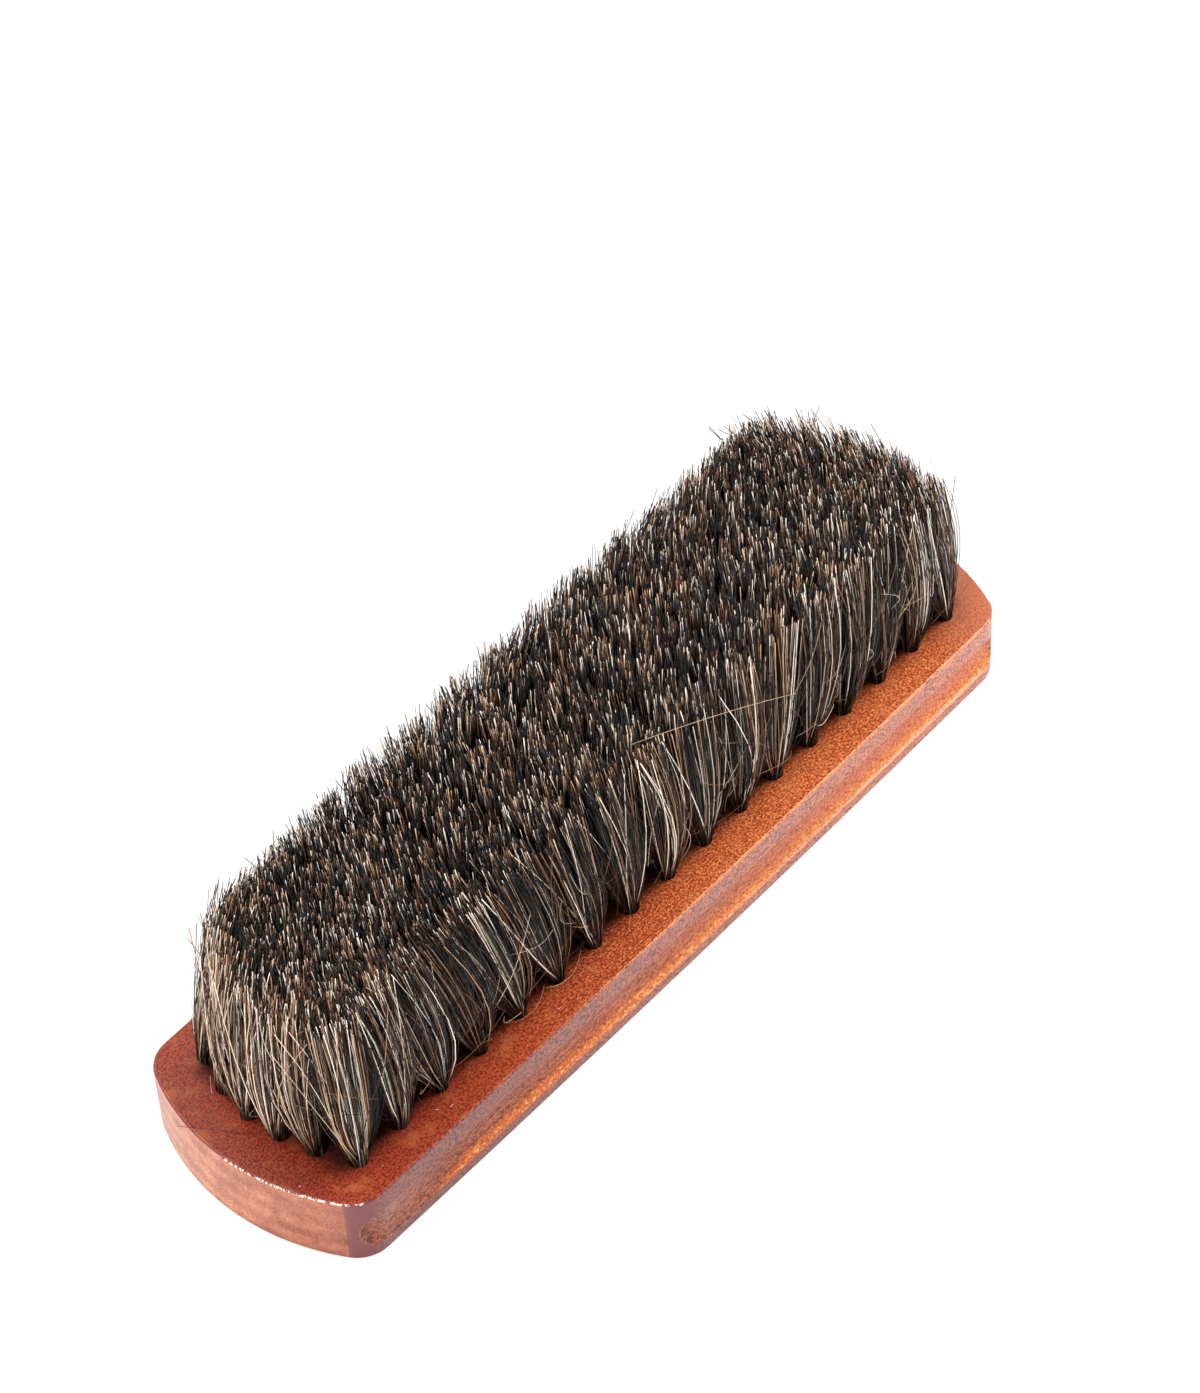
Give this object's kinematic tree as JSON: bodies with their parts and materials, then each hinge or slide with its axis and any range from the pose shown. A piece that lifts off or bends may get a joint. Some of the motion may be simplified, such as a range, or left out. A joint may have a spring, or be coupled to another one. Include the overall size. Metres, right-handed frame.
{
  "type": "shoe shine brush",
  "caption": "Hand-held shoe shine brush: a flat varnished wooden block with finger grooves, bowed ends and rows of trimmed horsehair tufts set in drilled holes.",
  "frame": {"origin": "centre of the flat back of the block, on the surface the brush lies on", "axes": "+X along the block, +Y across it, +Z out of the bristle face towards the tips"},
  "size_m": [0.17, 0.0468, 0.0447],
  "materials": {
    "varnished_wood": "red-brown stained hardwood under a satin varnish, fine short pores, paler on the end grain and in the worn groove lip",
    "horsehair": "natural mixed horsehair, black, dark brown, chestnut and a few pale hairs, satin sheen",
    "anchor_wire": "plain drawn flat wire"
  },
  "bodies": {
    "root": {"wood_block": "varnished_wood", "tuft_row_01": "horsehair", "tuft_row_02": "horsehair", "tuft_row_03": "horsehair", "tuft_row_04": "horsehair", "tuft_row_05": "horsehair", "tuft_row_06": "horsehair", "tuft_row_07": "horsehair", "tuft_row_08": "horsehair", "tuft_row_09": "horsehair", "tuft_row_10": "horsehair", "tuft_row_11": "horsehair", "tuft_row_12": "horsehair", "tuft_row_13": "horsehair", "tuft_row_14": "horsehair", "tuft_row_15": "horsehair", "tuft_row_16": "horsehair", "tuft_row_17": "horsehair", "anchor_row_01": "anchor_wire", "anchor_row_02": "anchor_wire", "anchor_row_03": "anchor_wire", "anchor_row_04": "anchor_wire", "anchor_row_05": "anchor_wire", "anchor_row_06": "anchor_wire", "anchor_row_07": "anchor_wire", "anchor_row_08": "anchor_wire", "anchor_row_09": "anchor_wire", "anchor_row_10": "anchor_wire", "anchor_row_11": "anchor_wire", "anchor_row_12": "anchor_wire", "anchor_row_13": "anchor_wire", "anchor_row_14": "anchor_wire", "anchor_row_15": "anchor_wire", "anchor_row_16": "anchor_wire", "anchor_row_17": "anchor_wire"}
  },
  "joints": []
}
